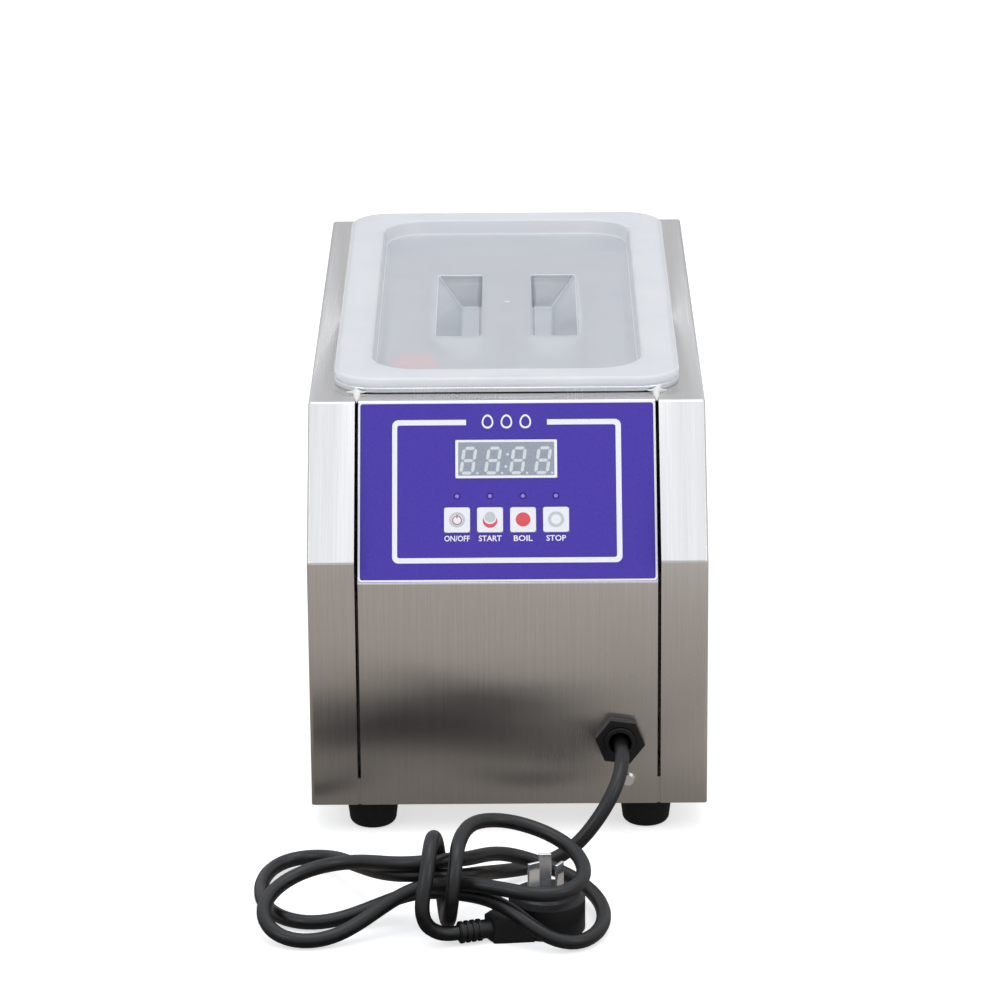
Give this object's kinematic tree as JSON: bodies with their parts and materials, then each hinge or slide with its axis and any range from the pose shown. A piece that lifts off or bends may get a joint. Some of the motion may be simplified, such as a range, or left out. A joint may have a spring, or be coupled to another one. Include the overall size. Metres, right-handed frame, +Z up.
{
  "type": "commercial egg boiler",
  "caption": "Countertop egg boiler: folded steel cabinet, sloped key panel with display, deep water pan, translucent lid, lift-out perforated basket, rear drain valve and coiled mains lead.",
  "frame": {"origin": "centre of the machine's footprint on the surface it stands on, measured without the free cord", "axes": "+X to the operator's right, +Y from the control panel towards the drain valve at the rear, +Z up"},
  "size_m": [0.2254, 0.6123, 0.221],
  "materials": {
    "panel_steel": "vertical brushed grain",
    "bright_steel": "drawn and polished",
    "white_sealant": "satin",
    "brass_fittings": "turned",
    "black_rubber": "satin",
    "black_plastic": "moulded",
    "red_plastic": "moulded",
    "clear_plastic": "translucent, moulded",
    "purple_film": "printed film",
    "key_plastic": "moulded",
    "grey_lens": "tinted",
    "lamp_lens": "diffused",
    "circuit_board": "lacquered",
    "pale_plastic": "moulded"
  },
  "bodies": {
    "cabinet": {"side_panel_left": "panel_steel", "side_panel_right": "panel_steel", "front_panel": "panel_steel", "rear_cover": "panel_steel", "base_tray": "panel_steel", "panel_joiners": "panel_steel", "rear_screws": "bright_steel", "foot_front_left": "black_rubber", "foot_front_right": "black_rubber", "foot_rear_left": "black_rubber", "foot_rear_right": "black_rubber", "foot_screws": "bright_steel", "foot_nuts": "bright_steel", "water_pan": "bright_steel", "rim_sealant": "white_sealant", "heater_element": "bright_steel", "heater_gaskets": "black_rubber", "heater_nuts": "brass_fittings", "temperature_probe": "bright_steel", "probe_nut": "brass_fittings", "thermal_cutout": "black_plastic", "drain_spigot": "brass_fittings", "drain_nut": "brass_fittings", "drain_elbow": "brass_fittings", "drain_grommet": "black_rubber", "valve_body": "brass_fittings", "control_film": "purple_film", "display_lens": "grey_lens", "display_module": "black_plastic", "control_board": "circuit_board", "board_standoffs": "brass_fittings", "board_nuts": "bright_steel", "key_switches": "black_plastic", "indicator_lamps": "lamp_lens", "power_board": "circuit_board", "board_spacers": "brass_fittings", "ribbon_cable": "pale_plastic", "terminal_block": "pale_plastic", "internal_wiring": "pale_plastic", "earth_screw": "bright_steel", "earth_nut": "bright_steel", "gland_body": "black_plastic", "gland_locknut": "black_plastic", "gland_seal": "black_rubber", "inner_cable": "black_rubber", "mains_cord": "black_rubber", "plug_body": "black_rubber", "plug_blades": "brass_fittings"},
    "basket": {"egg_basket": "bright_steel", "basket_post": "bright_steel", "basket_knob": "red_plastic"},
    "lid": {"lid": "clear_plastic"},
    "power_key": {"key_power": "key_plastic"},
    "start_key": {"key_start": "key_plastic"},
    "boil_key": {"key_boil": "key_plastic"},
    "stop_key": {"key_stop": "key_plastic"},
    "lever": {"valve_lever": "red_plastic", "valve_ball": "bright_steel", "valve_lever_nut": "bright_steel"}
  },
  "joints": [
    {"name": "basket_lift", "type": "slide", "parent": "cabinet", "child": "basket", "axis": [0, 0, 1], "range_m": [0, 0.15]},
    {"name": "lid_lift", "type": "slide", "parent": "basket", "child": "lid", "axis": [0, 0, 1], "range_m": [0, 0.08]},
    {"name": "power_press", "type": "slide", "parent": "cabinet", "child": "power_key", "axis": [0, 0.8239, -0.5667], "range_m": [0, 0.0004], "stiffness_N_per_m": 4000, "springref_m": -0.0001},
    {"name": "start_press", "type": "slide", "parent": "cabinet", "child": "start_key", "axis": [0, 0.8239, -0.5667], "range_m": [0, 0.0004], "stiffness_N_per_m": 4000, "springref_m": -0.0001},
    {"name": "boil_press", "type": "slide", "parent": "cabinet", "child": "boil_key", "axis": [0, 0.8239, -0.5667], "range_m": [0, 0.0004], "stiffness_N_per_m": 4000, "springref_m": -0.0001},
    {"name": "stop_press", "type": "slide", "parent": "cabinet", "child": "stop_key", "axis": [0, 0.8239, -0.5667], "range_m": [0, 0.0004], "stiffness_N_per_m": 4000, "springref_m": -0.0001},
    {"name": "drain_turn", "type": "hinge", "parent": "cabinet", "child": "lever", "pos_m": [0, 0.2015, 0.057], "axis": [0, 0, 1], "range_deg": [0, 90]}
  ]
}
